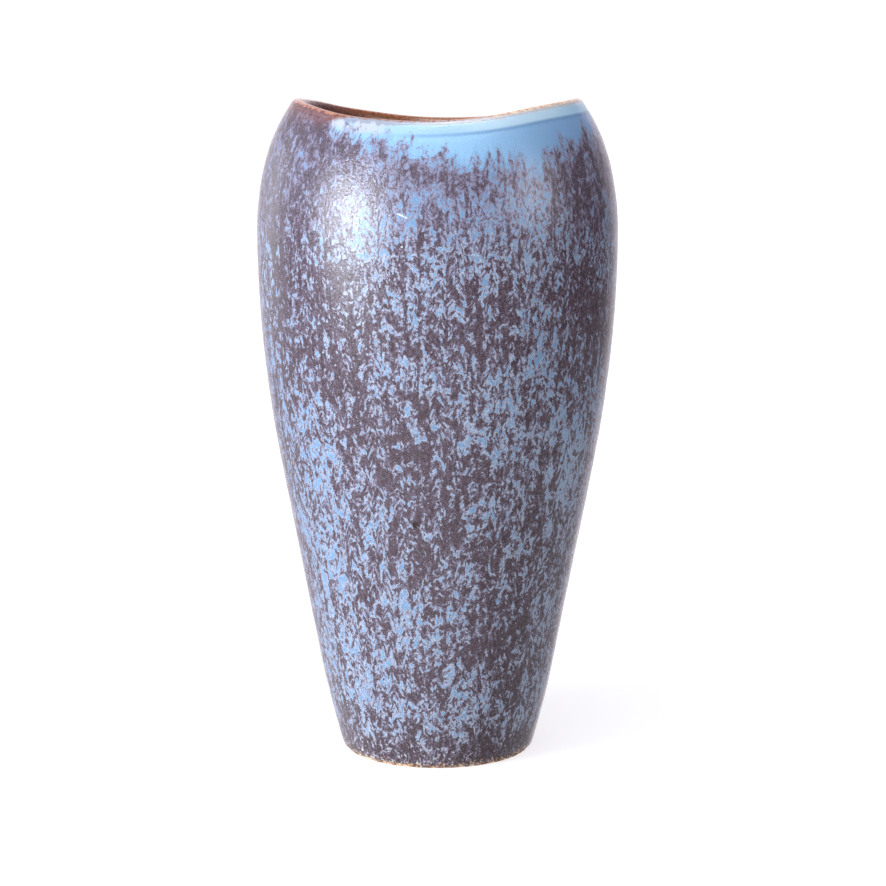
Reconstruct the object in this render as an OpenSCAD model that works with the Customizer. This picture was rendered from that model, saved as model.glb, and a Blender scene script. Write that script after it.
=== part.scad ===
// Wheel-thrown stoneware vase with a saddle-shaped lip.
//
// A narrow foot opens through a straight flaring wall to a high round belly, and the shoulder
// turns in to a wide mouth. The lip is not level: it is high on the left and right (+X and -X)
// and dips at the front and back (-Y and +Y). Z = 0 is the surface the foot ring stands on.
//
// The pot is one fired clay body. Four coats of glaze are fused to it: the outer glaze, the thin
// glaze over the lip, the liner and the glazed underside. All lengths are in millimetres.

/* [Overall form] */
// Height of the lip at its two high points
rim_height = 200; // [190:1:205]
// Radius of the belly over the glaze
belly_radius = 54.7; // [45:0.1:70]
// Height of the widest point of the belly
belly_height = 160; // [140:1:165]

/* [Shoulder and mouth] */
// Radius of the soft curve just above the belly
soft_shoulder_radius = 85; // [70:1:100]
// Angle that the soft curve turns through before the shoulder tightens
soft_shoulder_turn = 13.5; // [8:0.5:18]
// Radius of the tighter curve that runs in to the mouth
shoulder_radius = 56; // [50:1:65]
// Radius of the saddle that the lip follows
saddle_radius = 170; // [120:1:400]

/* [Lower body] */
// Radius of the long curve just below the belly
lower_belly_radius = 370; // [300:5:450]
// Lean of the straight wall from vertical, in degrees
wall_lean = 10.85; // [8:0.05:13]
// Height where the straight wall starts to tuck in to the foot
tuck_height = 30; // [15:1:45]
// Radius of the curve that tucks in to the foot
tuck_radius = 320; // [200:5:500]

/* [Clay] */
// Thickness of the thrown clay wall
wall_thickness = 3.6; // [2.5:0.1:6]
// Extra radius of the shoulder curve on the inside, which thins the wall towards the lip
lip_thinning = 12; // [0:1:16]
// Height of the clay floor above the table
floor_height = 10; // [8:0.5:14]
// Radius of the rounded corner between the floor and the wall, inside
floor_corner_radius = 13; // [8:0.5:16]

/* [Foot] */
// Width of the ring that the vase stands on
foot_ring_width = 5.2; // [4:0.1:8]
// Depth of the turned recess inside the foot ring
recess_depth = 3; // [2:0.1:4]
// Bevel on the edges of the foot ring
foot_bevel = 0.5; // [0.3:0.1:0.7]

/* [Glaze] */
// Thickness of the outer glaze
outer_glaze_thickness = 0.7; // [0.5:0.1:1.2]
// Height above the table where the outer glaze stops
glaze_line_height = 0.8; // [0.6:0.1:4]
// Thickness of the glaze over the lip
lip_glaze_thickness = 0.5; // [0.3:0.1:0.8]
// How far the thin lip glaze reaches down each side of the lip
lip_band_height = 1.8; // [1:0.1:5]
// Thickness of the liner glaze inside
liner_glaze_thickness = 0.5; // [0.4:0.1:1]
// Thickness of the glaze on the underside
base_glaze_thickness = 0.5; // [0.3:0.1:1]
// Bare clay left between the foot ring and the glaze on the underside
base_glaze_margin = 0.8; // [0.4:0.1:3]

/* [Colours] */
// Bare fired stoneware
clay_colour = "#a98a72";
// Mottled blue-grey glaze
outer_glaze_colour = "#5e5a68";
// Thin iron-brown glaze
lip_glaze_colour = "#8a5a48";
// Dark brown liner
liner_glaze_colour = "#3a2620";
// Dark glaze on the underside
base_glaze_colour = "#40312f";

/* [Hidden] */
// Sub-parts, each drawn by the module of the same name
$fn = 144;

// Straight steps that each curve of the outline is drawn with
foot_steps = 6;
belly_steps = 12;
soft_shoulder_steps = 8;
shoulder_steps = 24;
corner_steps = 12;
// Turn that carries the shoulder curve past the lip
crown_turn = 60;
// Height on the axis where the outline is closed, clear above every curve
crown_height = 1.2 * rim_height;
// Length of the saddle cutter, across the whole pot
saddle_length = 4 * belly_radius;

// Centre of the long curve below the belly, and its lower end
lower_belly_x = belly_radius - lower_belly_radius;
wall_top_x = lower_belly_x + lower_belly_radius * cos(wall_lean);
wall_top_z = belly_height - lower_belly_radius * sin(wall_lean);
// Lower end of the straight wall, and the centre of the curve that tucks in to the foot
wall_foot_x = wall_top_x - (wall_top_z - tuck_height) * tan(wall_lean);
tuck_x = wall_foot_x - tuck_radius * cos(wall_lean);
tuck_z = tuck_height + tuck_radius * sin(wall_lean);
// Centre of the soft curve above the belly, and its upper end
soft_shoulder_x = belly_radius - soft_shoulder_radius;
soft_end_x = soft_shoulder_x + soft_shoulder_radius * cos(soft_shoulder_turn);
soft_end_z = belly_height + soft_shoulder_radius * sin(soft_shoulder_turn);
// Centre of the shoulder curve
shoulder_x = soft_end_x - shoulder_radius * cos(soft_shoulder_turn);
shoulder_z = soft_end_z - shoulder_radius * sin(soft_shoulder_turn);

// Depths below the outer face of the glaze
clay_depth = outer_glaze_thickness;
bore_depth = clay_depth + wall_thickness;
liner_depth = bore_depth + liner_glaze_thickness;

// Radii of the foot ring, measured on the clay
foot_radius = tuck_curve_radius(clay_depth, 0);
recess_radius = foot_radius - foot_ring_width;

// Turn and radius of the curve above the foot, at a height and a depth below the glaze
function tuck_curve_turn(depth, z) = asin((z - tuck_z) / (tuck_radius - depth));
function tuck_curve_radius(depth, z) =
    tuck_x + (tuck_radius - depth) * cos(tuck_curve_turn(depth, z));

// Points along a curve about a centre, from one turn to another
function curve(x, z, radius, from, to, steps) = [
    for (i = [0:steps])
        let (turn = from + (to - from) * i / steps)
            [x + radius * cos(turn), z + radius * sin(turn)]
];

// Points up the wall from a turn on the foot curve, to above the lip
function wall_points(depth, foot_turn, thinning) = concat(
    curve(tuck_x, tuck_z, tuck_radius - depth, foot_turn, -wall_lean, foot_steps),
    curve(lower_belly_x, belly_height, lower_belly_radius - depth, -wall_lean, 0, belly_steps),
    curve(soft_shoulder_x, belly_height, soft_shoulder_radius - depth,
        soft_shoulder_turn / soft_shoulder_steps, soft_shoulder_turn, soft_shoulder_steps - 1),
    curve(shoulder_x - thinning * cos(soft_shoulder_turn),
        shoulder_z - thinning * sin(soft_shoulder_turn),
        shoulder_radius + thinning - depth,
        soft_shoulder_turn + (crown_turn - soft_shoulder_turn) / shoulder_steps,
        crown_turn, shoulder_steps - 1)
);

// Half outline of the closed pot, a given depth below the outer face of the glaze
module outline(depth) {
    polygon(concat(
        [[0, 0]],
        wall_points(depth, tuck_curve_turn(depth, 0), 0),
        [[0, crown_height]]
    ));
}

// Half outline of the hollow, with a level floor and a rounded corner
module hollow(depth, floor_z) {
    corner_z = floor_z + floor_corner_radius;
    corner_turn = tuck_curve_turn(depth + floor_corner_radius, corner_z);
    corner_x = tuck_curve_radius(depth + floor_corner_radius, corner_z);
    polygon(concat(
        [[0, floor_z]],
        curve(corner_x, corner_z, floor_corner_radius, -90,
            corner_turn - (corner_turn + 90) / corner_steps, corner_steps - 1),
        wall_points(depth, corner_turn, lip_thinning),
        [[0, crown_height]]
    ));
}

// Half outline of the turned recess and the bevels on the two edges of the foot ring
module foot_cuts() {
    polygon([
        [0, 0],
        [recess_radius + foot_bevel, 0],
        [recess_radius, foot_bevel],
        [recess_radius, recess_depth],
        [0, recess_depth]
    ]);
    polygon([
        [foot_radius - foot_bevel, 0],
        [foot_radius + foot_bevel, 0],
        [tuck_curve_radius(clay_depth, foot_bevel) + foot_bevel, foot_bevel],
        [tuck_curve_radius(clay_depth, foot_bevel), foot_bevel]
    ]);
}

// Solid below a saddle that lies a given drop under the crest of the lip
module under_saddle(drop) {
    translate([0, 0, rim_height - saddle_radius])
        rotate([0, 90, 0])
            cylinder(r = saddle_radius - drop, h = saddle_length, center = true);
}

// Thrown wall, floor and foot ring: one piece of fired stoneware
module clay_body() {
    color(clay_colour)
        intersection() {
            rotate_extrude()
                difference() {
                    outline(clay_depth);
                    hollow(bore_depth, floor_height);
                    foot_cuts();
                }
            under_saddle(lip_glaze_thickness);
        }
}

// Mottled glaze on the outside, from just above the table to just below the lip
module outer_glaze() {
    color(outer_glaze_colour)
        intersection() {
            rotate_extrude()
                intersection() {
                    difference() {
                        outline(0);
                        outline(clay_depth);
                    }
                    translate([0, glaze_line_height])
                        square([2 * belly_radius, rim_height]);
                }
            under_saddle(lip_band_height);
        }
}

// Thin glaze that caps the lip and laps a little way down both sides of it
module lip_glaze() {
    color(lip_glaze_colour)
        difference() {
            intersection() {
                rotate_extrude()
                    difference() {
                        outline(0);
                        hollow(liner_depth, floor_height);
                    }
                under_saddle(0);
            }
            under_saddle(lip_band_height);
            clay_body();
        }
}

// Glaze over the inside wall and the floor
module liner_glaze() {
    color(liner_glaze_colour)
        intersection() {
            rotate_extrude()
                difference() {
                    hollow(bore_depth, floor_height);
                    hollow(liner_depth, floor_height + liner_glaze_thickness);
                }
            under_saddle(lip_band_height);
        }
}

// Disc of glaze on the roof of the recess, inside the bare foot ring
module base_glaze() {
    color(base_glaze_colour)
        translate([0, 0, recess_depth - base_glaze_thickness])
            cylinder(r = recess_radius - base_glaze_margin, h = base_glaze_thickness);
}

clay_body();
outer_glaze();
lip_glaze();
liner_glaze();
base_glaze();
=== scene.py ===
"""A thrown stoneware vase with a mottled glaze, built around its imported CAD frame.

Lengths in the shape code are millimetres, as in the design, and become metres when a mesh is made.
"Bearing" is the angle round the pot: 0 faces the front (-Y) and a quarter turn faces +X. It is in
degrees in the tables and for the lights, and in radians where it is an array.
"Drop" is the distance below the crest of the lip, and "depth" is measured in from the glaze.
"""

import math

import bpy
import numpy as np
from mathutils import Euler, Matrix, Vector


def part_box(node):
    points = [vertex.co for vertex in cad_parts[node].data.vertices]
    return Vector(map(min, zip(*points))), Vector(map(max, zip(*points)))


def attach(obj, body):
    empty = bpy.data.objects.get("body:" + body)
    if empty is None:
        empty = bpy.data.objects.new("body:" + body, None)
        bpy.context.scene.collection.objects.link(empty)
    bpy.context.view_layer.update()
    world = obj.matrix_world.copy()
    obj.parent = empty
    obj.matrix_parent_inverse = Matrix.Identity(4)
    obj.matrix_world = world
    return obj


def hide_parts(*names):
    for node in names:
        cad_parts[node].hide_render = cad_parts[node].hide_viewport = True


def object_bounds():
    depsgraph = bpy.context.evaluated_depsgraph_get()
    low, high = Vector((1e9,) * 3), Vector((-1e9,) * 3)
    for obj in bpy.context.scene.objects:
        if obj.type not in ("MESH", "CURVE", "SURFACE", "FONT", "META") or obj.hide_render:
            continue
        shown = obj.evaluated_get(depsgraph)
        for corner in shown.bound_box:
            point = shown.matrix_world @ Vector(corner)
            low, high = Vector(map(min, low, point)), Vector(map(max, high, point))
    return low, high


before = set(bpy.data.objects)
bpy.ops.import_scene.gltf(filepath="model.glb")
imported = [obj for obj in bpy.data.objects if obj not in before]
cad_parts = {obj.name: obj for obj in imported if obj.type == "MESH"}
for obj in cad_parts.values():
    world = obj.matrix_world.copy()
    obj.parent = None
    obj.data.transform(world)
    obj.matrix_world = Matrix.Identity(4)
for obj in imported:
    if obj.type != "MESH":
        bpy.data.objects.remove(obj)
cad_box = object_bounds()

MM = 0.001

# ---------------------------------------------------------------- the design's own dimensions

OUTER_LOW, OUTER_HIGH = (Vector(corner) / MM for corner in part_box("outer_glaze"))
CLAY_HIGH = Vector(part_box("clay_body")[1]) / MM
LINER_LOW, LINER_HIGH = (Vector(corner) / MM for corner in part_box("liner_glaze"))
BASE_LOW, BASE_HIGH = (Vector(corner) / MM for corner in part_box("base_glaze"))

RIM_HEIGHT = (cad_box[1] / MM).z
BELLY_RADIUS = OUTER_HIGH.x
BELLY_HEIGHT = 160.0
SOFT_SHOULDER_RADIUS = 85.0
SOFT_SHOULDER_TURN = math.radians(13.5)
SHOULDER_RADIUS = 56.0
SADDLE_RADIUS = 170.0
LOWER_BELLY_RADIUS = 370.0
WALL_LEAN = math.radians(10.85)
TUCK_HEIGHT = 30.0
TUCK_RADIUS = 320.0
LIP_THINNING = 12.0
FLOOR_CORNER_RADIUS = 13.0
FOOT_RING_WIDTH = 5.2
FOOT_BEVEL = 0.5

CLAY_DEPTH = OUTER_HIGH.x - CLAY_HIGH.x
BORE_DEPTH = OUTER_HIGH.x - LINER_HIGH.x
LINER_THICKNESS = 0.5
LINER_DEPTH = BORE_DEPTH + LINER_THICKNESS
FLOOR_HEIGHT = LINER_LOW.z
LINER_FLOOR = FLOOR_HEIGHT + LINER_THICKNESS
RECESS_DEPTH = BASE_HIGH.z


class Outline:
    """The pot's half outline: curves that meet smoothly, at any depth below the glaze."""

    def __init__(self):
        self.low_x = BELLY_RADIUS - LOWER_BELLY_RADIUS
        wall_x = self.low_x + LOWER_BELLY_RADIUS * math.cos(WALL_LEAN)
        wall_z = BELLY_HEIGHT - LOWER_BELLY_RADIUS * math.sin(WALL_LEAN)
        foot_x = wall_x - (wall_z - TUCK_HEIGHT) * math.tan(WALL_LEAN)
        self.tuck_x = foot_x - TUCK_RADIUS * math.cos(WALL_LEAN)
        self.tuck_z = TUCK_HEIGHT + TUCK_RADIUS * math.sin(WALL_LEAN)
        self.soft_x = BELLY_RADIUS - SOFT_SHOULDER_RADIUS
        turn = SOFT_SHOULDER_TURN
        reach = SOFT_SHOULDER_RADIUS - SHOULDER_RADIUS
        self.shoulder_x = self.soft_x + reach * math.cos(turn)
        self.shoulder_z = BELLY_HEIGHT + reach * math.sin(turn)

    @staticmethod
    def _arc(z, x0, z0, radius):
        return x0 + np.sqrt(np.maximum(radius**2 - (z - z0) ** 2, 0.0))

    def radius(self, z, depth=0.0, thinning=0.0):
        """Radius of the wall at a height."""
        z = np.asarray(z, float)
        turn = SOFT_SHOULDER_TURN
        shoulder = self._arc(
            z,
            self.shoulder_x - thinning * math.cos(turn),
            self.shoulder_z - thinning * math.sin(turn),
            SHOULDER_RADIUS + thinning - depth,
        )
        soft = self._arc(z, self.soft_x, BELLY_HEIGHT, SOFT_SHOULDER_RADIUS - depth)
        low = self._arc(z, self.low_x, BELLY_HEIGHT, LOWER_BELLY_RADIUS - depth)
        tuck = self._arc(z, self.tuck_x, self.tuck_z, TUCK_RADIUS - depth)
        soft_top = BELLY_HEIGHT + (SOFT_SHOULDER_RADIUS - depth) * math.sin(turn)
        wall_top = BELLY_HEIGHT - (LOWER_BELLY_RADIUS - depth) * math.sin(WALL_LEAN)
        wall_foot = self.tuck_z - (TUCK_RADIUS - depth) * math.sin(WALL_LEAN)
        wall_foot_x = self.tuck_x + (TUCK_RADIUS - depth) * math.cos(WALL_LEAN)
        wall = wall_foot_x + (z - wall_foot) * math.tan(WALL_LEAN)
        return np.select(
            [z > soft_top, z > BELLY_HEIGHT, z > wall_top, z > wall_foot],
            [shoulder, soft, low, wall],
            tuck,
        )

    def bore_radius(self, z, depth, floor):
        """Radius of the hollow at a height, with the rounded corner at its floor."""
        z = np.asarray(z, float)
        corner_z = floor + FLOOR_CORNER_RADIUS
        gap = TUCK_RADIUS - depth - FLOOR_CORNER_RADIUS
        corner_x = self.tuck_x + math.sqrt(gap**2 - (self.tuck_z - corner_z) ** 2)
        touch_z = corner_z + (corner_z - self.tuck_z) * FLOOR_CORNER_RADIUS / gap
        corner = self._arc(z, corner_x, corner_z, FLOOR_CORNER_RADIUS)
        return np.where(z < touch_z, corner, self.radius(z, depth, LIP_THINNING))


outline = Outline()
FOOT_RADIUS = float(outline.radius(0.0, CLAY_DEPTH))
RECESS_RADIUS = FOOT_RADIUS - FOOT_RING_WIDTH


def crest_height(y):
    """Height of the saddle that the crest of the lip follows, from front to back."""
    return RIM_HEIGHT - SADDLE_RADIUS + np.sqrt(SADDLE_RADIUS**2 - y**2)


# ---------------------------------------------------------------- unevenness of a thrown pot


def smooth_noise(seed, bearing, z, around, up, count=24):
    """A smooth random field, mostly from -1 to 1, that closes on itself round the pot.

    around: most waves round the pot; up: shortest wave up the pot; count: waves added together.
    """
    rng = np.random.default_rng(seed)
    total = np.zeros(np.broadcast(bearing, z).shape)
    for _ in range(count):
        waves = rng.integers(0, around + 1)
        rise = rng.uniform(-1, 1) * 2 * math.pi / up
        phase = rng.uniform(0, 2 * math.pi)
        total += np.cos(waves * bearing + rise * z + phase)
    return total / math.sqrt(count) / 1.5


def step(edge0, edge1, value):
    """0 below edge0, 1 above edge1, and smooth between them. Works in either direction."""
    t = np.clip((value - edge0) / (edge1 - edge0), 0.0, 1.0)
    return t * t * (3 - 2 * t)


def wrap(degrees):
    """The same angle, from -180 to 180."""
    return (degrees + 180) % 360 - 180


def bump(bearing, centre, half_width):
    """1 at the centre, falling towards 0 past a half width on either side. Both are in degrees."""
    off = wrap(np.degrees(bearing) - centre)
    return np.exp(-((off / half_width) ** 2))


# The groove thrown just below the lip, deepest at the front right
GROOVE_DROP = 4.4
GROOVE_HALF_WIDTH = 0.9
GROOVE_DEPTH = 0.2
GROOVE_BEARING = 32
GROOVE_SPREAD = 38
# Spacing of the throwing rings, outside and inside
OUTER_RING_PITCH = 6.5
INNER_RING_PITCH = 8.0


def relief(bearing, z, drop):
    """Outward movement of the glaze surface."""
    swell = 0.10 * smooth_noise(11, bearing, z, 5, 60)
    ripple = 0.035 * smooth_noise(12, bearing, z, 26, 9)
    rings = 0.010 * np.sin(2 * math.pi * z / OUTER_RING_PITCH + bearing) * step(0, 30, z)
    groove = -GROOVE_DEPTH * np.exp(-(((drop - GROOVE_DROP) / GROOVE_HALF_WIDTH) ** 2))
    groove = groove * (0.1 + 0.9 * bump(bearing, GROOVE_BEARING, GROOVE_SPREAD))
    return swell + ripple + rings + groove


# ---------------------------------------------------------------- meshes

AROUND = 384
BEARING = np.arange(AROUND) * 2 * math.pi / AROUND
NEIGHBOURS = [(i, (i + 1) % AROUND) for i in range(AROUND)]


def new_object(name, vertices, faces):
    """An object in the scene, from vertices in metres."""
    mesh = bpy.data.meshes.new(name)
    mesh.from_pydata(vertices, [], faces)
    made = bpy.data.objects.new(name, mesh)
    bpy.context.scene.collection.objects.link(made)
    return made


def ring_mesh(name, rows, body="root", replaces=(), closed=False):
    """A piece made of rings of vertices. Each row is the radius and the height of one ring.

    A closed piece joins its last ring to its first. Any other piece is capped at both ends.
    """
    points = []
    for radius, height in rows:
        radius = np.broadcast_to(radius, BEARING.shape)
        height = np.broadcast_to(height, BEARING.shape)
        points.append(np.stack([radius * np.sin(BEARING), -radius * np.cos(BEARING), height], -1))
    vertices = np.concatenate(points) * MM
    faces = []
    count = len(rows)
    for j in range(count if closed else count - 1):
        low = j * AROUND
        high = ((j + 1) % count) * AROUND
        faces += [(low + i, low + k, high + k, high + i) for i, k in NEIGHBOURS]
    if not closed:
        first_cap = len(vertices)
        last_cap = first_cap + 1
        last = (count - 1) * AROUND
        faces += [(first_cap, k, i) for i, k in NEIGHBOURS]
        faces += [(last_cap, last + i, last + k) for i, k in NEIGHBOURS]
        caps = [[0.0, 0.0, float(np.mean(height))] for _, height in (rows[0], rows[-1])]
        vertices = np.concatenate([vertices, np.array(caps) * MM])
    piece = new_object(name, vertices.tolist(), faces)
    piece.data.shade_smooth()
    piece.data.update()
    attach(piece, body)
    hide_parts(*replaces)
    return piece


def store(piece, name, values):
    """Keeps one number per vertex on a piece, for its material to read. Vertices past the end get 0."""
    data = piece.data.attributes.new(name, "FLOAT", "POINT")
    full = np.zeros(len(piece.data.vertices), np.float32)
    flat = np.ravel(values)
    full[: len(flat)] = flat
    data.data.foreach_set("value", full)


# ---- the lip: a round edge set square to the wall, whose crest follows the saddle

# How far below the lip the walls take to forget its rounding
LIP_EASE = 6.0


def lip_frame():
    """Centre, half thickness and lean of the rounded lip at each bearing."""
    # how far below the crest the wall is measured
    probe = 2.0
    height = np.full(AROUND, RIM_HEIGHT)
    # the crest's height depends on the wall's radius there, so the two are settled together
    for _ in range(6):
        outer = outline.radius(height - probe)
        inner = outline.bore_radius(height - probe, LINER_DEPTH, FLOOR_HEIGHT)
        middle = (outer + inner) / 2
        height = crest_height(middle * np.cos(BEARING))
    slope = outline.radius(height - (probe - 0.5)) - outline.radius(height - (probe + 0.5))
    lean = np.arctan(-slope)
    half = (outer - inner) / 2 * np.cos(lean)
    # a hand-thrown lip: it stands up a little at the front right and dips at the front left
    wander = 0.09 * smooth_noise(21, BEARING, 0.0, 14, 50)
    wander = wander + 0.5 * bump(BEARING, 42, 28) - 0.2 * bump(BEARING, -25, 18)
    centre_z = height - half - 0.02 + wander
    bore = outline.bore_radius(centre_z, LINER_DEPTH, FLOOR_HEIGHT)
    centre_r = (outline.radius(centre_z) + bore) / 2
    return centre_r, centre_z, half, lean


LIP_R, LIP_Z, LIP_HALF, LIP_LEAN = lip_frame()
CREST_Z = LIP_Z + LIP_HALF


def lip_point(turn, depth=0.0):
    """Radius and height on the lip's round edge. turn is 0 at the outer wall and 1 at the inner."""
    angle = LIP_LEAN + turn * math.pi
    reach = LIP_HALF - depth
    return LIP_R + reach * np.cos(angle), LIP_Z + reach * np.sin(angle)


def near_lip(end_z, height):
    """1 from the end of the lip's rounding upwards, fading to 0 below it."""
    return np.exp(-np.maximum(end_z - height, 0) / LIP_EASE)


def outer_radius(height):
    """Radius of the outer glaze, following the lip's rounding near the top."""
    end_r, end_z = lip_point(0.0)
    wall = outline.radius(height)
    wall = wall + (end_r - outline.radius(end_z)) * near_lip(end_z, height)
    sine = np.clip((height - LIP_Z) / LIP_HALF, -1, 1)
    rounded = LIP_R + LIP_HALF * np.cos(np.arcsin(sine))
    return np.where(height > end_z, rounded, wall)


def inner_radius(height):
    """Radius of the liner's face, with throwing rings, eased to meet the rounded lip."""
    end_r, end_z = lip_point(1.0)
    base = outline.bore_radius(height, LINER_DEPTH, LINER_FLOOR)
    at_end = outline.bore_radius(end_z, LINER_DEPTH, LINER_FLOOR)
    rings = 0.06 * np.sin(2 * math.pi * height / INNER_RING_PITCH + BEARING)
    rings = rings * step(40, 60, RIM_HEIGHT - height + 34)
    return base + (end_r - at_end) * near_lip(end_z, height) + rings


def clay_bore_radius(height):
    """Radius of the clay's inside wall, a little behind the liner."""
    end_r, end_z = lip_point(1.0, 0.6)
    base = outline.bore_radius(height, BORE_DEPTH, FLOOR_HEIGHT)
    at_end = outline.bore_radius(end_z, BORE_DEPTH, FLOOR_HEIGHT)
    return base + (end_r - at_end) * near_lip(end_z, height) + 0.1


# 1 where the glaze has run off the lip at the left, 0 elsewhere
DEGREES = wrap(np.degrees(BEARING))
LEFT_LIP = step(-27, -42, DEGREES) * step(-150, -110, DEGREES)
# Drop of the line where the lip glaze piece meets the outer glaze piece
LIP_LINE = 0.75 + 1.0 * LEFT_LIP + 0.1 * smooth_noise(22, BEARING, 0.0, 60, 50, 60)
# Height where the outer glaze ends above the table
FOOT_LINE = (
    OUTER_LOW.z
    - 0.1
    + 0.28 * smooth_noise(31, BEARING, 0.0, 110, 50, 70)
    + 0.15 * smooth_noise(32, BEARING, 0.0, 9, 50)
    - 0.2 * bump(BEARING, 38, 34)
)
LOWEST_FOOT_LINE = 0.22
FOOT_LINE = np.maximum(FOOT_LINE, LOWEST_FOOT_LINE)

ROWS_OUTER = 236
ROWS_BEHIND = 12


def make_outer_glaze():
    """The mottled coat, from the foot line up to the lip glaze."""
    top = CREST_Z - LIP_LINE
    level_thickness = CLAY_DEPTH / np.cos(LIP_LEAN)
    roll_height = 1.2
    rows = []
    for j in range(ROWS_OUTER):
        height = FOOT_LINE + (top - FOOT_LINE) * (j / (ROWS_OUTER - 1))
        # the glaze ends at the foot in a rolled edge, thinner right at the line
        edge = np.clip((height - FOOT_LINE) / roll_height, 0, 1)
        roll = -CLAY_DEPTH * (1 - np.sqrt(1 - (1 - edge) ** 2))
        uneven = relief(BEARING, height, CREST_Z - height)
        rows.append((outer_radius(height) + uneven + roll, height))
    front = np.array([height for _, height in rows])
    # back down along the clay
    for j in range(ROWS_BEHIND):
        t = 1 - j / (ROWS_BEHIND - 1)
        height = FOOT_LINE + (top - FOOT_LINE) * t
        rows.append((outer_radius(height) - level_thickness * t - CLAY_DEPTH * (1 - t), height))
    piece = ring_mesh(
        "outer_glaze_coat",
        rows,
        replaces=("outer_glaze",),
        closed=True,
    )
    bearing = np.broadcast_to(BEARING, front.shape)
    drop = CREST_Z - front
    # hardly any flecks where the glaze has run off the lip
    bare_lip = -1.6 * LEFT_LIP * np.exp(-((drop / 5.5) ** 2))
    store(piece, "drop", drop)
    store(piece, "blue", blue_share(bearing, front) + bare_lip)
    store(piece, "band", rim_band(bearing, drop))
    store(piece, "left_lip", np.broadcast_to(LEFT_LIP, front.shape))
    store(piece, "above_foot", front - FOOT_LINE)
    return piece


# Where the blue flecks crowd together or thin out: bearing, height, spread of each, strength
CLOUDS = (
    (2, 85, 17, 36, -0.3),
    (-26, 118, 16, 20, -0.65),
    (-40, 163, 12, 13, -0.5),
    (-23, 142, 9, 14, -0.1),
    (-44, 62, 14, 28, 0.65),
    (41, 98, 15, 22, 0.5),
    (58, 138, 12, 20, -0.7),
    (52, 157, 12, 16, -0.45),
    (62, 176, 14, 9, 0.15),
    (20, 168, 26, 12, 0.8),
    (33, 170, 7, 12, 0.5),
    (-12, 164, 11, 12, 0.5),
    (-6, 178, 12, 9, 0.45),
    (-2, 142, 11, 16, 0.45),
    (-14, 92, 8, 44, 0.35),
    (-22, 165, 14, 14, 0.2),
    (18, 108, 9, 18, 0.4),
    (-15, 126, 7, 12, -0.45),
    (-42, 84, 10, 22, 0.5),
    (-10, 56, 10, 14, 0.35),
    (26, 70, 12, 18, -0.45),
    (-4, 52, 14, 18, 0.4),
    (-17, 19, 15, 12, 1.0),
    (22, 20, 13, 10, 0.6),
    (-16, 106, 7, 7, 0.45),
    (17, 100, 7, 7, 0.35),
    (7, 150, 6, 9, 0.45),
    (18, 158, 6, 6, -0.4),
    (27, 129, 7, 9, 0.35),
    (31, 168, 8, 9, 0.35),
    (-37, 193, 8, 5, -0.5),
    (62, 78, 10, 22, 0.4),
    (-39, 128, 7, 8, 0.4),
    (-47, 136, 6, 7, -0.4),
    (-42, 114, 6, 7, -0.4),
    (-34, 67, 7, 8, -0.35),
    (-8, 50, 7, 8, 0.35),
    (-37, 40, 8, 8, -0.35),
    (40, 34, 20, 30, -0.6),
    (30, 6, 34, 9, -0.6),
    (64, 100, 12, 44, 0.45),
    (-62, 96, 12, 34, 0.3),
    (-58, 146, 14, 22, -0.5),
    (100, 70, 20, 30, 0.3),
    (140, 110, 24, 34, -0.4),
    (180, 60, 26, 30, 0.4),
    (170, 150, 26, 20, 0.3),
    (-130, 120, 24, 34, -0.35),
    (-110, 50, 20, 26, 0.35),
)


def blue_share(bearing, z):
    """How far the flecks crowd in, from about -1 for bare ground to 1 for mostly blue."""
    total = 0.25 * smooth_noise(41, bearing, z, 9, 34, 40)
    for centre, height, width, rise, strength in CLOUDS:
        cloud = strength * bump(bearing, centre, width)
        total = total + cloud * np.exp(-(((z - height) / rise) ** 2))
    return total


# Lower edge of the solid blue run under the lip: bearing and drop below the crest
BAND_EDGE = (
    (-180, 5.0),
    (-150, 2.0),
    (-120, 0.0),
    (-42, 0.0),
    (-37, 0.5),
    (-33, 4.0),
    (-28, 5.0),
    (-17, 4.8),
    (-11, 5.2),
    (-7, 7.0),
    (-2, 8.8),
    (9, 9.8),
    (25, 12.0),
    (31, 12.6),
    (37, 16.0),
    (42, 14.0),
    (47, 11.0),
    (53, 10.2),
    (60, 9.8),
    (67, 9.6),
    (74, 8.2),
    (82, 5.5),
    (92, 2.0),
    (100, 0.0),
    (140, 3.0),
    (165, 8.0),
    (180, 5.0),
)


def rim_band(bearing, drop):
    """How far a point lies above the lower edge of the blue run under the lip."""
    reach = np.interp(wrap(np.degrees(bearing)), *zip(*BAND_EDGE))
    reach = reach + 0.8 * smooth_noise(42, bearing, 0.0, 30, 50, 40) * np.minimum(reach / 4, 1)
    return np.where(reach > 0.3, reach - drop, -drop)


LIP_STEPS = 26
LIP_BACK_STEPS = 8
LIP_SIDE_STEPS = 6
LIP_INSIDE_STEPS = 3
LIP_INSIDE_PITCH = 0.5
LIP_THICKNESS = 0.5


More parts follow.
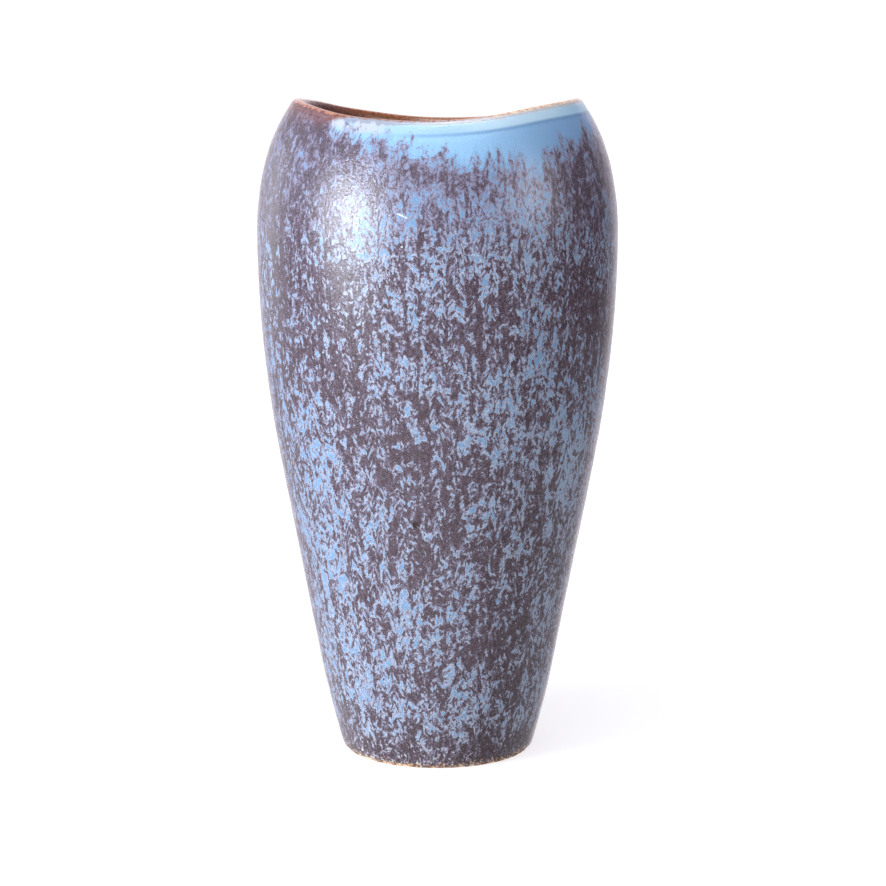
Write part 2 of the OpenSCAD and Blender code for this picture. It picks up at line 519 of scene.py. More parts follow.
def make_lip():
    """The lip's glaze: up the outer wall, over the round edge and a little way down inside.

    Drops are negative inside the crest, so that the material can tell the two sides apart.
    """
    rows, drops = [], []
    line = CREST_Z - LIP_LINE
    wall_end_z = lip_point(0.0)[1]
    for j in range(LIP_SIDE_STEPS):
        t = j / LIP_SIDE_STEPS
        height = line * (1 - t) + (wall_end_z + 0.02) * t
        rows.append((outer_radius(height) + relief(BEARING, height, CREST_Z - height), height))
        drops.append(CREST_Z - height)
    for j in range(LIP_STEPS + 1):
        turn = 0.03 + 0.97 * j / LIP_STEPS
        radius, height = lip_point(turn)
        # the wall's unevenness dies away over the edge
        fade = max(0.0, 1 - turn / 0.35)
        rows.append((radius + relief(BEARING, height, CREST_Z - height) * fade, height))
        drops.append(np.where(turn < 0.5, CREST_Z - height, -(CREST_Z - height)))
    inside_z = lip_point(1.0)[1]
    for j in range(1, LIP_INSIDE_STEPS + 1):
        height = inside_z - LIP_INSIDE_PITCH * j
        rows.append((inner_radius(height), height))
        drops.append(-(CREST_Z - height))
    # back along the clay: up the inside, over the edge and down to the line
    for j in range(LIP_INSIDE_STEPS, -1, -1):
        height = inside_z - LIP_INSIDE_PITCH * j
        rows.append((inner_radius(height) + LIP_THICKNESS, height))
        drops.append(-(CREST_Z - height))
    for j in range(LIP_BACK_STEPS, -1, -1):
        radius, height = lip_point(0.03 + 0.94 * j / LIP_BACK_STEPS, LIP_THICKNESS)
        rows.append((radius, height))
        drops.append(CREST_Z - height)
    rows.append((outer_radius(line) - CLAY_DEPTH / np.cos(LIP_LEAN), line))
    drops.append(LIP_LINE)
    piece = ring_mesh(
        "lip_glaze_coat",
        rows,
        replaces=("lip_glaze",),
        closed=True,
    )
    drop = np.array(drops)
    bearing = np.broadcast_to(BEARING, drop.shape)
    store(piece, "drop", drop)
    store(piece, "blue", np.zeros(drop.shape))
    store(piece, "band", rim_band(bearing, np.abs(drop)))
    store(piece, "left_lip", np.broadcast_to(LEFT_LIP, drop.shape))
    store(piece, "above_foot", CREST_Z - np.abs(drop))
    return piece


def make_liner():
    """The dark glaze on the inside wall and floor, with faint throwing rings: a thin closed shell."""
    top = lip_point(1.0)[1] - LIP_INSIDE_PITCH * LIP_INSIDE_STEPS
    floor = LINER_FLOOR + 0.02
    under = FLOOR_HEIGHT + 0.08
    corner = outline.bore_radius(floor, LINER_DEPTH, LINER_FLOOR)
    back = LINER_THICKNESS - 0.08
    floor_rings = 12
    back_rings = 24
    wall_rings = 96
    rows = [(corner * j / floor_rings, under) for j in range(1, floor_rings)]
    for j in range(back_rings):
        turn = j / (back_rings - 1) * math.pi / 2
        height = under + (top - under) * (1 - math.cos(turn))
        rows.append((inner_radius(np.maximum(height, floor)) + back, height))
    for j in range(wall_rings):
        height = top + (floor - top) * math.sin(j / (wall_rings - 1) * math.pi / 2)
        rows.append((inner_radius(height), height))
    for j in range(floor_rings - 1, 0, -1):
        share = j / floor_rings
        spiral = 0.12 * math.sin(share * 22) * min(1, 4 * (1 - share))
        rows.append((corner * share, floor + spiral))
    return ring_mesh(
        "liner_glaze_coat",
        rows,
        replaces=("liner_glaze",),
    )


def make_clay():
    """The fired clay: the wall behind the glaze and the bare, turned foot ring."""
    rows = []
    # underside of the recess, from near the centre out to the ring
    recess_rings = 14
    for j in range(1, recess_rings):
        r = RECESS_RADIUS * j / recess_rings
        rows.append((r, RECESS_DEPTH - 0.03 + 0.03 * math.sin(r * 2.2)))
    rows.append((RECESS_RADIUS - 0.35, RECESS_DEPTH))
    rows.append((RECESS_RADIUS, RECESS_DEPTH - 0.35))
    rows.append((RECESS_RADIUS, FOOT_BEVEL + 0.3))
    rows.append((RECESS_RADIUS + 0.1, FOOT_BEVEL * 0.5))
    rows.append((RECESS_RADIUS + FOOT_BEVEL, 0.0))
    # the flat of the foot ring, with its turning marks
    flat_rings = 12
    for j in range(1, flat_rings):
        r = RECESS_RADIUS + FOOT_BEVEL + (FOOT_RING_WIDTH - 2 * FOOT_BEVEL) * j / flat_rings
        rows.append((r, max(0.0, 0.04 * math.sin(r * 5.0))))
    # the bevel on its outer edge, and the clay bared below the glaze
    chip = 0.12 * smooth_noise(51, BEARING, 0.0, 60, 50, 50)
    rows.append((FOOT_RADIUS - FOOT_BEVEL * 0.5, 0.0))
    rows.append((FOOT_RADIUS - FOOT_BEVEL * 0.15 + chip * 0.5, FOOT_BEVEL * 0.3))
    rows.append((FOOT_RADIUS + 0.06 + chip * 0.5, FOOT_BEVEL))
    bare_top = 4.0
    for height in (0.9, 1.3, 1.8, 2.6, bare_top):
        rough = 0.10 * smooth_noise(52, BEARING, height, 70, 3, 50) * step(bare_top, 1.8, height)
        rows.append((outline.radius(height, CLAY_DEPTH) + rough, height))
    # the wall behind the outer glaze, round under the lip glaze, and down behind the liner
    wall_rings = 40
    for j in range(1, wall_rings):
        height = bare_top + (LIP_Z - bare_top) * j / (wall_rings - 1)
        lean = LIP_LEAN * step(150, 200, height)
        rows.append((outer_radius(height) - CLAY_DEPTH / np.cos(lean) - 0.12, height))
    edge_rings = 9
    for j in range(1, edge_rings):
        rows.append(lip_point(0.04 + 0.92 * j / edge_rings, 0.75))
    inside_z = lip_point(1.0)[1] - 1.0
    floor = FLOOR_HEIGHT + 0.05
    for j in range(wall_rings):
        height = inside_z + (floor - inside_z) * math.sin(j / (wall_rings - 1) * math.pi / 2)
        rows.append((clay_bore_radius(height), height))
    corner = outline.bore_radius(floor, BORE_DEPTH, FLOOR_HEIGHT)
    for share in (0.75, 0.5, 0.25):
        rows.append((corner * share, FLOOR_HEIGHT - 0.1))
    return ring_mesh(
        "clay_wall_and_foot",
        rows,
        replaces=("clay_body",),
    )


def make_base_glaze():
    """The disc of glaze in the recess, dished a little and rolled at its edge."""
    radius = BASE_HIGH.x
    low = BASE_LOW.z
    rings = 22
    rows = []
    for j in range(1, rings):
        r = radius * j / rings
        rows.append((r, low + 0.08 * (j / rings) ** 2 + 0.04 * math.sin(r * 1.7)))
    wander = 0.18 * smooth_noise(61, BEARING, 0.0, 40, 50, 50)
    rows.append((radius - 0.25 + wander, low + 0.14))
    rows.append((radius - 0.05 + wander, low + 0.32))
    rows.append((radius - 0.02 + wander, BASE_HIGH.z))
    rows.append((radius * 0.5, BASE_HIGH.z))
    return ring_mesh(
        "base_glaze_disc",
        rows,
        replaces=("base_glaze",),
    )


# ---------------------------------------------------------------- materials


class Graph:
    """A short way to write a material's nodes."""

    def __init__(self, name):
        self.material = bpy.data.materials.new(name)
        self.material.use_nodes = True
        self.tree = self.material.node_tree
        self.tree.nodes.clear()
        self.output = self.tree.nodes.new("ShaderNodeOutputMaterial")

    def node(self, kind, settings=None, **inputs):
        """A node. An input is named by its socket, or by i and its number."""
        made = self.tree.nodes.new(kind)
        for key, value in (settings or {}).items():
            setattr(made, key, value)
        for key, value in inputs.items():
            self.put(made, key, value)
        return made

    def put(self, made, key, value):
        key = int(key[1:]) if key[0] == "i" and key[1:].isdigit() else key.replace("_", " ")
        socket = made.inputs[key]
        if isinstance(value, bpy.types.NodeSocket):
            self.tree.links.new(value, socket)
        else:
            socket.default_value = value

    def math(self, operation, *values):
        made = self.node("ShaderNodeMath", {"operation": operation})
        for index, value in enumerate(values):
            self.put(made, f"i{index}", value)
        return made.outputs[0]

    def add(self, a, b):
        return self.math("ADD", a, b)

    def sub(self, a, b):
        return self.math("SUBTRACT", a, b)

    def mul(self, a, b):
        return self.math("MULTIPLY", a, b)

    def madd(self, a, b, c):
        return self.math("MULTIPLY_ADD", a, b, c)

    def size_of(self, value):
        return self.math("ABSOLUTE", value)

    def sway(self, pattern, amount, value):
        """A value pushed either way by a pattern that is 0.5 on average."""
        return self.madd(self.sub(pattern, 0.5), amount, value)

    def step(self, value, low, high):
        """0 below low and 1 above high, or the other way round."""
        made = self.node("ShaderNodeMapRange", {"interpolation_type": "SMOOTHSTEP"}, Value=value)
        made.inputs["From Min"].default_value = low
        made.inputs["From Max"].default_value = high
        return made.outputs["Result"]

    def between(self, value, low, high):
        """A value from 0 to 1, moved to lie from low to high."""
        made = self.node("ShaderNodeMapRange", Value=value)
        made.inputs["To Min"].default_value = low
        made.inputs["To Max"].default_value = high
        return made.outputs["Result"]

    def noise(self, vector, scale, detail=2.0, roughness=0.5, distortion=0.0, output="Fac"):
        made = self.node("ShaderNodeTexNoise", Vector=vector, Scale=scale, Detail=detail)
        made.inputs["Roughness"].default_value = roughness
        made.inputs["Distortion"].default_value = distortion
        return made.outputs[output]

    def scaled(self, vector, scale, offset=(0, 0, 0)):
        made = self.node("ShaderNodeMapping", Vector=vector)
        made.inputs["Scale"].default_value = scale
        made.inputs["Location"].default_value = offset
        return made.outputs[0]

    def drawn(self, vector, rise, offset=(0, 0, 0)):
        """Coordinates that draw a pattern out vertically when rise is less than 1."""
        return self.scaled(vector, (1, 1, rise), offset)

    def vector(self, operation, a, b=None):
        made = self.node("ShaderNodeVectorMath", {"operation": operation}, i0=a)
        if b is not None:
            self.put(made, "Scale" if operation == "SCALE" else "i1", b)
        return made.outputs["Value" if operation in ("LENGTH", "DISTANCE") else "Vector"]

    def mix(self, factor, a, b):
        made = self.node("ShaderNodeMix", {"data_type": "RGBA"}, i0=factor, i6=a, i7=b)
        return made.outputs[2]

    def attribute(self, name):
        return self.node("ShaderNodeAttribute", {"attribute_name": name}).outputs["Fac"]

    def millimetres(self):
        position = self.node("ShaderNodeTexCoord").outputs["Object"]
        return self.scaled(position, (1 / MM, 1 / MM, 1 / MM))

    def bumps(self, height, strength, distance):
        """Normals for a bumpy surface. The distance is in metres."""
        made = self.node("ShaderNodeBump", Height=height)
        made.inputs["Strength"].default_value = strength
        made.inputs["Distance"].default_value = distance
        return made.outputs[0]

    def finish(self, **inputs):
        """Wires up the shader and gives the material."""
        shader = self.node("ShaderNodeBsdfPrincipled", **inputs)
        self.tree.links.new(shader.outputs[0], self.output.inputs["Surface"])
        return self.material


def linear(red, green, blue):
    """A colour given as 0-255 display values."""

    def one(value):
        value /= 255
        return value / 12.92 if value <= 0.04045 else ((value + 0.055) / 1.055) ** 2.4

    return one(red), one(green), one(blue), 1.0


GROUND_DARK = linear(54, 31, 46)
GROUND = linear(75, 53, 65)
# painted sheen on the ground near the top
GROUND_TOP_SHEEN = linear(92, 82, 98)
GROUND_FOOT = linear(56, 22, 38)
GROUND_PALE = linear(100, 81, 98)
FLECK_EDGE = linear(134, 128, 156)
FLECK_BLUE = linear(116, 158, 203)
FLECK_FOOT = linear(216, 210, 214)
FLECK_PALE = linear(190, 200, 220)
BAND_BLUE = linear(154, 200, 240)
BAND_DEEP = linear(126, 162, 208)
# painted shade along the groove below the lip
BAND_GROOVE_SHADE = linear(84, 122, 172)
CROWN_LEFT = linear(166, 203, 224)
# painted highlight on the crown of the run at the right
CROWN_RIGHT_HIGHLIGHT = linear(205, 235, 255)
FROST = linear(198, 200, 208)
VEIL_LEFT = linear(160, 144, 148)
# painted highlight: the veil's pale tone at the right
VEIL_RIGHT_HIGHLIGHT = linear(226, 208, 202)
IRON = linear(150, 92, 62)
IRON_DARK = linear(62, 34, 28)
# painted highlight along the crest of the lip
IRON_CREST_HIGHLIGHT = linear(214, 146, 116)
# painted highlight on the lip's edge at the right
IRON_CREAM_HIGHLIGHT = linear(255, 232, 208)
SALMON = linear(126, 86, 90)
PINHOLE_SHADE = linear(40, 8, 10)
SCUFF = linear(236, 244, 250)
FOOT_CREAM = linear(238, 220, 194)
FOOT_RUST = linear(132, 70, 48)

# Pinholes in the glaze: bearing, height and radius. They are dented by bump only, and their near-black
# colour is painted shade.
PINHOLES = (
    (-25.1, 124.3, 0.35),
    (-3.2, 77.8, 0.85),
    (98.0, 61.0, 0.5),
    (163.0, 132.0, 0.4),
    (-141.0, 88.0, 0.6),
)

# Pale scuffs, drawn as rows of dots: bearing, height and radius
SCUFFS = (
    (-7.3, 168.1, 0.18),
    (-6.9, 167.95, 0.23),
    (-6.5, 167.8, 0.24),
    (-6.1, 167.6, 0.24),
    (-5.7, 167.45, 0.22),
    (-5.3, 167.3, 0.15),
    (-4.9, 167.1, 0.20),
    (-4.5, 166.95, 0.20),
    (-5.9, 158.8, 0.28),
    (121.0, 92.0, 0.30),
)


class MottledGlaze(Graph):
    """The outside: violet-brown ground, blue flecks that run downwards, thin over the lip."""

    def __init__(self, name):
        super().__init__(name)
        # p is the place on the pot
        self.p = self.millimetres()
        place = self.node("ShaderNodeSeparateXYZ", i0=self.p)
        self.height, self.aside = place.outputs["Z"], place.outputs["X"]
        self.drop = self.attribute("drop")
        self.left_lip = self.attribute("left_lip")
        self.above_foot = self.attribute("above_foot")
        self.near_foot = self.step(self.above_foot, 12.0, 1.0)
        self.near_base = self.step(self.height, 50.0, 8.0)
        self.near_top = self.step(self.height, 150.0, 180.0)
        self.right_lip = self.step(self.aside, 6.0, 24.0)
        self.flow()
        self.patterns()
        self.find_flecks()

    def flow(self):
        """The glaze has run: it slips furthest down along thin stems, and flecks lean in to them."""
        p = self.p
        round_pot = self.vector("NORMALIZE", self.vector("MULTIPLY", p, (1, 1, 0)))
        down = self.vector("MULTIPLY", p, (0, 0, 0.035))
        column = self.vector("ADD", self.vector("SCALE", round_pot, 48.0), down)
        column = self.noise(column, 0.17, 1.5, 0.5)
        self.stem = self.mul(self.size_of(self.sub(column, 0.5)), 2.0)
        slip = self.node("ShaderNodeCombineXYZ", Z=self.mul(self.stem, -7.0)).outputs[0]
        warp = self.noise(self.drawn(p, 0.6), 0.16, 2.0, 0.5, output="Color")
        warp = self.vector("SUBTRACT", warp, (0.5, 0.5, 0.5))
        self.shift = self.vector("SCALE", warp, 4.0)
        # q is where the glaze at p has come from
        self.q = self.vector("ADD", self.vector("ADD", p, slip), self.shift)

    def patterns(self):
        """Noises that several parts of the glaze share."""
        p = self.p
        self.fine = self.noise(self.drawn(p, 0.8), 2.6, 1.0, 0.5)
        streaked = self.vector("ADD", self.drawn(p, 0.10), self.vector("SCALE", self.shift, 0.3))
        self.streak = self.noise(streaked, 0.45, 1.0, 0.5)
        self.crumb = self.noise(self.drawn(p, 0.9), 1.15, 2.0, 0.6, 0.3)
        self.ragged = self.noise(self.drawn(p, 0.35), 0.9, 2.0, 0.6)

    def find_flecks(self):
        """Decides what is fleck and what is ground, from a field that is above 0 in a fleck."""
        q = self.q
        clump = self.noise(self.drawn(q, 0.62), 0.38, 2.0, 0.55, 0.3)
        grain = self.noise(self.drawn(q, 0.72), 0.95, 3.0, 0.60, 0.4)
        reed = self.noise(self.drawn(q, 0.30), 1.25, 2.0, 0.55)
        patch = self.noise(self.drawn(self.p, 0.6), 0.055, 2.0, 0.5)
        self.band_ragged = self.sway(self.streak, 10.0, self.attribute("band"))
        self.band = self.step(self.band_ragged, -6.0, 3.5)
        # broad crowding, with the solid run at the top and bare veins along the stems
        broad = self.mul(self.sub(clump, 0.5), 0.85)
        broad = self.sway(patch, 0.32, broad)
        broad = self.sway(self.streak, 0.16, broad)
        broad = self.madd(self.attribute("blue"), 0.13, broad)
        broad = self.madd(self.band, 0.42, broad)
        broad = self.madd(self.step(self.band_ragged, 0.0, 6.0), 0.35, broad)
        vein = self.mul(self.step(self.stem, 0.11, 0.0), self.step(self.streak, 0.60, 0.46))
        broad = self.madd(vein, -0.12, broad)
        self.broad = self.mul(broad, self.madd(self.near_foot, -0.6, 1.0))
        # single flecks: finer reeds near the top and crumbs near the foot
        weight = self.madd(self.near_top, -0.35, self.madd(self.near_foot, -0.6, 1.4))
        field = self.sway(grain, weight, self.broad)
        field = self.sway(reed, self.mul(self.near_top, 0.5), field)
        field = self.madd(self.sub(self.crumb, 0.54), self.mul(self.near_foot, 1.2), field)
        foot_right = self.mul(self.near_foot, self.step(self.aside, 4.0, 18.0))
        field = self.madd(foot_right, -0.12, field)
        self.field = self.sway(self.fine, 0.30, field)
        sharp = self.math("DIVIDE", self.field, self.madd(self.near_top, 1.2, 1.0))
        self.fleck = self.step(sharp, -0.05, 0.09)
        self.core = self.step(sharp, 0.03, 0.17)

    def ground_colour(self):
        tone = self.noise(self.drawn(self.p, 0.5), 1.1, 3.0, 0.65)
        ground = self.mix(self.step(tone, 0.36, 0.66), GROUND_DARK, GROUND_PALE)
        ground = self.mix(0.4, ground, GROUND)
        # painted shade: the ground is darker towards the base
        ground = self.mix(self.mul(self.near_base, 0.45), ground, GROUND_DARK)
        ground = self.mix(self.mul(self.near_foot, 0.7), ground, GROUND_FOOT)
        # painted sheen: the ground is lighter and greyer near the top
        ground = self.mix(self.mul(self.near_top, 0.5), ground, GROUND_TOP_SHEEN)
        speck = self.noise(self.drawn(self.q, 0.7, (7, 3, 5)), 1.3, 2.0, 0.6)
        specks = self.mul(self.step(speck, 0.53, 0.63), self.step(self.broad, -0.14, 0.04))
        return self.mix(self.mul(specks, 0.8), ground, FLECK_EDGE)

    def fleck_colour(self):
        """Flecks are palest at their edges and where they are thin, and bluer at the sides."""
        hue = self.noise(self.drawn(self.q, 0.6, (3, 9, 1)), 1.5, 3.0, 0.7)
        depth = self.sway(hue, 0.6, self.field)
        inner = self.mix(self.step(depth, 0.10, 0.27), FLECK_PALE, FLECK_BLUE)
        sides = self.step(self.size_of(self.aside), 20.0, 46.0)
        bluer = self.mul(self.math("MAXIMUM", sides, self.near_top), 0.5)
        inner = self.mix(bluer, inner, FLECK_BLUE)
        # painted light: flecks made paler low on the right side
        painted_light_low_right = self.mul(self.step(self.aside, 18.0, 40.0), self.step(self.height, 125.0, 90.0))
        inner = self.mix(self.mul(painted_light_low_right, 0.4), inner, FLECK_PALE)
        inner = self.mix(self.mul(self.near_foot, 0.7), inner, FLECK_FOOT)
        inner = self.mix(self.mul(self.band, 0.8), inner, self.run_colour())
        return self.mix(self.core, FLECK_EDGE, inner)

    def run_colour(self):
        """The solid blue run, with its paler crown above the groove, whitened towards the right by a
        painted highlight, and a line of painted shade along the groove.
        """
        aside, drop = self.aside, self.drop
        body = self.mix(self.step(aside, 12.0, 46.0), BAND_BLUE, BAND_DEEP)
        # painted highlight: the crown turns near-white towards the right, then back to blue further
        # round
        crown = self.mix(self.step(aside, 4.0, 22.0), CROWN_LEFT, CROWN_RIGHT_HIGHLIGHT)
        crown = self.mix(self.mul(self.step(aside, 32.0, 44.0), 0.6), crown, BAND_BLUE)
        # a brownish veil where the run thins at the lip, lightened towards the right by a painted
        # highlight
        veil_depth = self.sway(self.ragged, 2.0, drop)
        veil_depth = self.madd(self.step(aside, -6.0, -13.0), -0.5, veil_depth)
        veil = self.mix(self.step(aside, -14.0, 16.0), VEIL_LEFT, VEIL_RIGHT_HIGHLIGHT)
        crown = self.mix(self.mul(self.step(veil_depth, 1.6, 0.9), 0.75), crown, veil)
        run = self.mix(self.step(drop, 4.4, 3.2), body, crown)
        # white icicles where the run starts, at the left
        icicle = self.sway(self.streak, 5.0, drop)
        frost = self.mul(self.step(aside, -33.0, -29.0), self.step(aside, -8.0, -15.0))
        icicles = self.mul(self.step(icicle, 1.3, 2.0), self.step(icicle, 5.4, 3.4))
        run = self.mix(self.mul(frost, icicles), run, FROST)
        # painted shade: the darker line along the groove below the lip
        groove_shade = self.step(self.size_of(self.sub(drop, 4.2)), 0.8, 0.1)
        groove_shade = self.mul(groove_shade, self.step(aside, -14.0, 2.0))
        return self.mix(self.mul(groove_shade, 0.4), run, BAND_GROOVE_SHADE)

    def with_grit(self, colour):
        """Fine dark and pale grain over everything but the solid run."""
        grit = self.noise(self.drawn(self.p, 0.9), 3.0, 1.0, 0.5)
        grainy = self.sub(1.0, self.mul(self.step(self.band_ragged, -1.0, 4.0), 0.8))
        dark = self.mul(self.mul(self.step(grit, 0.54, 0.66), grainy), 0.30)
        colour = self.mix(dark, colour, GROUND_DARK)
        pale = self.mul(self.mul(self.step(grit, 0.46, 0.34), grainy), 0.16)
        return self.mix(pale, colour, FLECK_PALE)

    def with_lip(self, colour):
        """Thin and brown over the lip, with painted highlights: pale along the crest, and cream along
        its edge at the right.
        """
        reach = self.madd(self.left_lip, 2.2, self.madd(self.right_lip, 0.3, 0.15))
        reach = self.sway(self.ragged, self.madd(self.left_lip, 2.5, 1.6), reach)
        past = self.sub(self.drop, reach)
        past = self.math("DIVIDE", past, self.madd(self.left_lip, 3.2, 0.3))
        thin = self.sub(1.0, self.step(past, -0.5, 1.0))
        brown = self.mix(self.left_lip, IRON, SALMON)
        dark = self.step(self.noise(self.drawn(self.p, 0.6), 1.3, 2.0, 0.6), 0.50, 0.66)
        brown = self.mix(self.mul(dark, 0.6), brown, IRON_DARK)
        from_crest = self.size_of(self.drop)
        from_edge = self.add(from_crest, self.mul(self.sub(self.ragged, 0.5), 2.0))
        # painted highlight along the crest
        crest_highlight = self.step(from_edge, 0.55, 0.15)
        brown = self.mix(self.mul(crest_highlight, 0.8), brown, IRON_CREST_HIGHLIGHT)
        # painted highlight: cream along the lip's edge at the right
        cream_highlight = self.mul(self.right_lip, self.step(self.ragged, 0.42, 0.52))
        cream_highlight = self.mul(cream_highlight, self.step(from_crest, 1.2, 0.5))
        brown = self.mix(self.mul(cream_highlight, 0.85), brown, IRON_CREAM_HIGHLIGHT)
        return self.mix(thin, colour, brown)

    def with_bare_foot(self, colour):
        """Worn through to pale and rusty clay in places along the foot."""
        chips = self.noise(self.drawn(self.p, 1.3), 1.15, 3.0, 0.65)
        edge = self.sway(chips, -13.0, self.above_foot)
        edge = self.sway(self.streak, 7.0, edge)
        clay = self.mix(self.step(self.crumb, 0.45, 0.62), FOOT_RUST, FOOT_CREAM)
        return self.mix(self.step(edge, 0.9, 0.4), colour, clay)

    def spots(self, places, soft):
        """1 inside any of the round spots, 0 outside them all."""
        total = None
        for bearing, height, radius in places:
            angle, out = math.radians(bearing), float(outline.radius(height))
            centre = (out * math.sin(angle), -out * math.cos(angle), height)
            away = self.vector("DISTANCE", self.p, centre)
            spot = self.step(away, radius * (1 + soft), radius * (1 - soft))
            total = spot if total is None else self.math("MAXIMUM", total, spot)
        return total

    def build(self):
        pit = self.spots(PINHOLES, 0.3)
        scuff = self.mul(self.spots(SCUFFS, 0.45), 0.9)
        colour = self.mix(self.fleck, self.ground_colour(), self.fleck_colour())
        colour = self.with_grit(colour)
        colour = self.with_lip(colour)
        colour = self.with_bare_foot(colour)
        # painted shade inside the pinholes
        colour = self.mix(pit, colour, PINHOLE_SHADE)
        colour = self.mix(scuff, colour, SCUFF)
        # satin surface: flecks are a little drier than the ground, and stand a little proud
        dryness = self.add(self.mul(self.fine, 0.6), self.mul(self.fleck, 0.4))
        skin = self.madd(self.fine, 0.8, self.noise(self.p, 1.5, 3.0, 0.65))
        raised = self.madd(pit, -4.0, self.madd(self.fleck, 0.2, skin))
        return self.finish(
            Base_Color=colour,
            Roughness=self.between(dryness, 0.11, 0.25),
            Normal=self.bumps(raised, 0.7, 0.00015),
            IOR=1.65,
            Specular_IOR_Level=0.5,
        )


def liner_material():
    """Dark brown glaze, mottled and speckled a little paler."""
    g = Graph("brown_liner")
    p = g.millimetres()
    tone = g.noise(g.drawn(p, 0.6), 0.35, 4.0, 0.6)
    colour = g.mix(g.step(tone, 0.38, 0.66), linear(50, 33, 28), linear(104, 72, 58))
    speck = g.step(g.noise(p, 1.4, 2.0, 0.6), 0.60, 0.70)
    colour = g.mix(g.mul(speck, 0.4), colour, linear(134, 100, 82))
    return g.finish(
        Base_Color=colour,
        Roughness=g.between(tone, 0.28, 0.42),
        Normal=g.bumps(g.noise(p, 0.9, 3.0, 0.6), 0.4, 0.0002),
        IOR=1.5,
    )


def clay_material():
    """Pale stoneware with dark grog, toasted in patches, and darker towards the right with painted
    shade.
    """
    g = Graph("bare_clay")
    p = g.millimetres()
    tone = g.noise(p, 0.5, 4.0, 0.6)
    colour = g.mix(g.step(tone, 0.35, 0.62), linear(208, 146, 100), linear(252, 230, 200))
    aside = g.node("ShaderNodeSeparateXYZ", i0=p).outputs["X"]
    toast_and_shade = g.noise(g.drawn(p, 0.5), 0.42, 4.0, 0.7)
    # painted shade: the dark patches spread further towards the right
    toast_and_shade = g.step(g.madd(g.step(aside, -6.0, 2.0), 0.06, toast_and_shade), 0.49, 0.56)
    colour = g.mix(g.mul(toast_and_shade, 0.8), colour, linear(104, 50, 34))
    grog = g.step(g.noise(p, 2.2, 2.0, 0.6), 0.62, 0.70)
    colour = g.mix(g.mul(grog, 0.7), colour, linear(70, 44, 34))
    return g.finish(
        Base_Color=colour,
        Roughness=g.between(tone, 0.72, 0.9),
        Normal=g.bumps(g.noise(p, 1.8, 4.0, 0.65), 0.7, 0.0003),
        IOR=1.45,
    )


def base_material():
    """Dark glaze in the recess, with a few blue-grey flecks."""
    g = Graph("dark_underside")
    p = g.millimetres()
    tone = g.noise(p, 0.25, 4.0, 0.6)
    colour = g.mix(g.step(tone, 0.4, 0.64), linear(50, 36, 40), linear(88, 68, 72))
    fleck = g.step(g.noise(p, 0.8, 3.0, 0.6), 0.56, 0.64)
    colour = g.mix(g.mul(fleck, 0.7), colour, linear(112, 132, 168))
    return g.finish(
        Base_Color=colour,
        Roughness=g.between(tone, 0.3, 0.45),
        Normal=g.bumps(g.noise(p, 1.2, 3.0, 0.6), 0.5, 0.0002),
        IOR=1.5,
    )


def dress(piece, material):
    """Gives a piece its one material."""
    piece.data.materials.clear()
    piece.data.materials.append(material)


dress(make_outer_glaze(), MottledGlaze("mottled_outside").build())
dress(make_lip(), MottledGlaze("iron_lip").build())
dress(make_liner(), liner_material())
dress(make_clay(), clay_material())
dress(make_base_glaze(), base_material())

# ---------------------------------------------------------------- floor, light and camera

# Lengths from here on are metres
POT_CENTRE = Vector((0, 0, (cad_box[0].z + cad_box[1].z) / 2))
# A little over 1, so that it always reaches the picture as white
PURE_WHITE = (1.02, 1.02, 1.02, 1)


def make_floor():
    """Pale paper that glows with painted light, fading up to pure white away from the pot."""
    # far larger than any view, so that its edges are never seen
    half = 20.0
    corners = [(-half, -half, 0), (half, -half, 0), (half, half, 0), (-half, half, 0)]
    floor = new_object("floor", corners, [(0, 1, 2, 3)])
    g = Graph("white_floor")
    away = g.vector("LENGTH", g.millimetres())
    paper = g.finish(
        Base_Color=(0.42, 0.42, 0.42, 1),
        Roughness=0.9,
        # painted light: the floor's glow, dimmer near the pot
        Emission_Color=g.mix(g.step(away, 120, 600), (0.74, 0.73, 0.76, 1), PURE_WHITE),
        Emission_Strength=1.0,
    )
    dress(floor, paper)
    # the camera sees the floor, and the pot is lit by the studio's own gradient from below
    floor.visible_diffuse = False
    floor.visible_glossy = False


def make_backdrop():
    """White paper standing round the pot and far from it, seen only by the camera."""
    radius, height, sides = 8.0, 6.0, 64
    turns = [2 * math.pi * i / sides for i in range(sides)]
    vertices = [(radius * math.cos(a), radius * math.sin(a), z) for z in (0, height) for a in turns]
    faces = [(i, (i + 1) % sides, sides + (i + 1) % sides, sides + i) for i in range(sides)]
    backdrop = new_object("backdrop", vertices, faces)
    paper = Graph("white_backdrop").finish(
        Base_Color=(0, 0, 0, 1),
        Roughness=1.0,
        Emission_Color=PURE_WHITE,
        Emission_Strength=1.0,
    )
    paper.cycles.emission_sampling = "NONE"
    dress(backdrop, paper)
    backdrop.visible_diffuse = False
    backdrop.visible_glossy = False
    backdrop.visible_shadow = False


def softbox(name, bearing, elevation, size, power, colour=(1, 1, 1)):
    """An area light aimed at the pot from a metre away, at a bearing and elevation in degrees."""
    a, e = math.radians(bearing), math.radians(elevation)
    direction = Vector((math.sin(a) * math.cos(e), -math.cos(a) * math.cos(e), math.sin(e)))
    data = bpy.data.lights.new(name, "AREA")
    data.shape = "RECTANGLE"
    data.size, data.size_y = size
    data.energy = power
    data.color = colour
    light = bpy.data.objects.new(name, data)
    light.location = POT_CENTRE + direction
    light.rotation_euler = (-direction).to_track_quat("-Z", "Y").to_euler()
    bpy.context.scene.collection.objects.link(light)


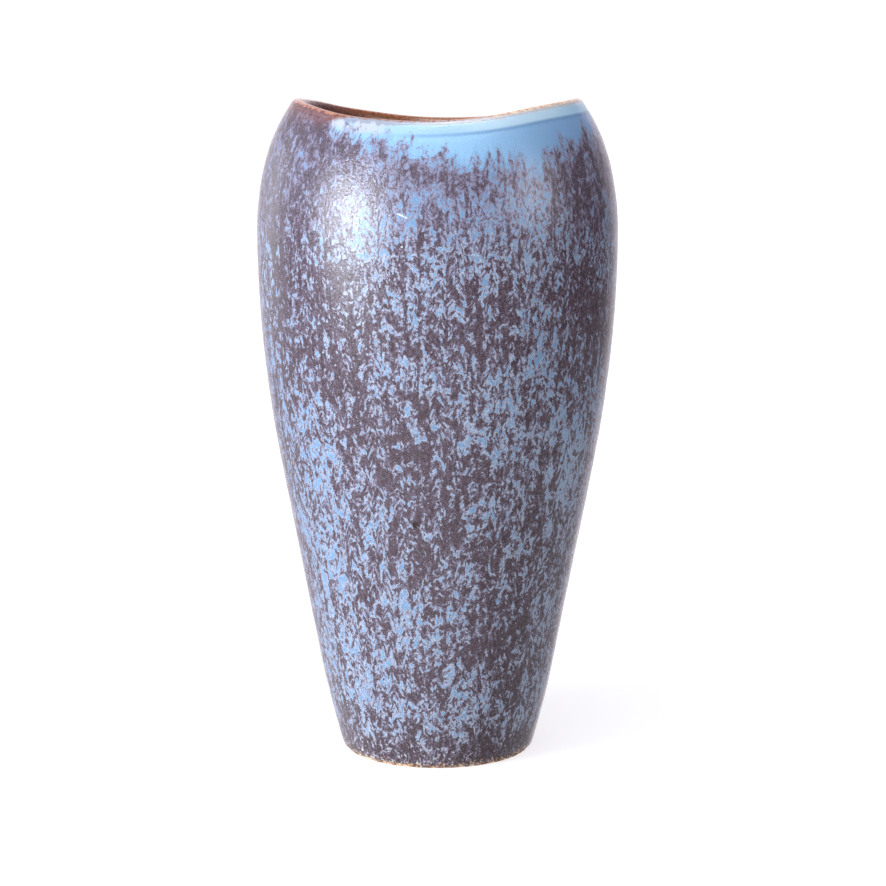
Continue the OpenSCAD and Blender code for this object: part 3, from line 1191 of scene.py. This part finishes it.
def make_world():
    """The studio round the pot, as a gradient of brightness by direction."""
    world = bpy.data.worlds.new("studio")
    bpy.context.scene.world = world
    world.use_nodes = True
    tree = world.node_tree
    tree.nodes.clear()
    out = tree.nodes.new("ShaderNodeOutputWorld")
    back = tree.nodes.new("ShaderNodeBackground")
    coords = tree.nodes.new("ShaderNodeTexCoord")
    split = tree.nodes.new("ShaderNodeSeparateXYZ")
    tree.links.new(coords.outputs["Generated"], split.inputs[0])

    def ramp(axis, low, high, to_low, to_high):
        made = tree.nodes.new("ShaderNodeMapRange")
        made.interpolation_type = "SMOOTHSTEP"
        tree.links.new(split.outputs[axis], made.inputs["Value"])
        made.inputs["From Min"].default_value = low
        made.inputs["From Max"].default_value = high
        made.inputs["To Min"].default_value = to_low
        made.inputs["To Max"].default_value = to_high
        return made.outputs["Result"]

    def combine(operation, a, b):
        made = tree.nodes.new("ShaderNodeMath")
        made.operation = operation
        tree.links.new(a, made.inputs[0])
        tree.links.new(b, made.inputs[1])
        return made.outputs[0]

    # walls: bright on the left and dark on the right; paper below: bright, less so on the right
    walls = ramp("X", -0.7, 0.6, 0.50, 0.08)
    paper = ramp("X", -0.8, 0.8, 0.98, 0.48)
    above = ramp("Z", -0.45, -0.02, 0.0, 1.0)
    below = ramp("Z", -0.45, -0.02, 1.0, 0.0)
    front = ramp("Y", -0.3, -0.95, 0.0, 0.26)
    behind = ramp("Y", 0.86, 0.96, 0.0, 1.05)
    total = combine("ADD", combine("MULTIPLY", walls, above), combine("MULTIPLY", paper, below))
    total = combine("ADD", combine("ADD", total, behind), front)
    tree.links.new(total, back.inputs["Strength"])
    # the light from behind is a little pink
    tint = tree.nodes.new("ShaderNodeMix")
    tint.data_type = "RGBA"
    tree.links.new(ramp("Y", 0.4, 0.9, 0.0, 1.0), tint.inputs[0])
    tint.inputs[6].default_value = (1, 1, 1, 1)
    tint.inputs[7].default_value = (1, 0.92, 1, 1)
    tree.links.new(tint.outputs[2], back.inputs["Color"])
    tree.links.new(back.outputs[0], out.inputs["Surface"])


def make_camera():
    """The viewpoint, found from the pot's own curves: level with the lip and looking slightly down."""
    bearing = math.radians(4.7)
    distance, height = 704.8, 201.95
    look_down, look_aside = math.radians(8.63), math.radians(0.134)
    data = bpy.data.cameras.new("camera")
    data.sensor_width = 36.0
    data.lens = 94.06
    data.clip_start, data.clip_end = 0.01, 50.0
    camera = bpy.data.objects.new("camera", data)
    place = Vector((distance * math.sin(bearing), -distance * math.cos(bearing), height))
    camera.location = place * MM
    camera.rotation_euler = Euler((math.pi / 2 - look_down, 0, bearing - look_aside))
    bpy.context.scene.collection.objects.link(camera)
    bpy.context.scene.camera = camera


make_floor()
make_backdrop()
make_world()
softbox("key_left", -51.5, 10.5, (0.40, 0.30), 10.4, (0.86, 0.92, 1.0))
softbox("fill_right", 67, 16, (0.06, 0.14), 1.9, (0.96, 0.95, 1.0))
softbox("edge_left", -125, 6, (0.3, 0.4), 0.7, (0.90, 0.95, 1.0))
softbox("overhead", 8, 74, (0.6, 0.36), 5.2)
make_camera()

settings = bpy.context.scene.view_settings
settings.view_transform = "Standard"
settings.look = "None"
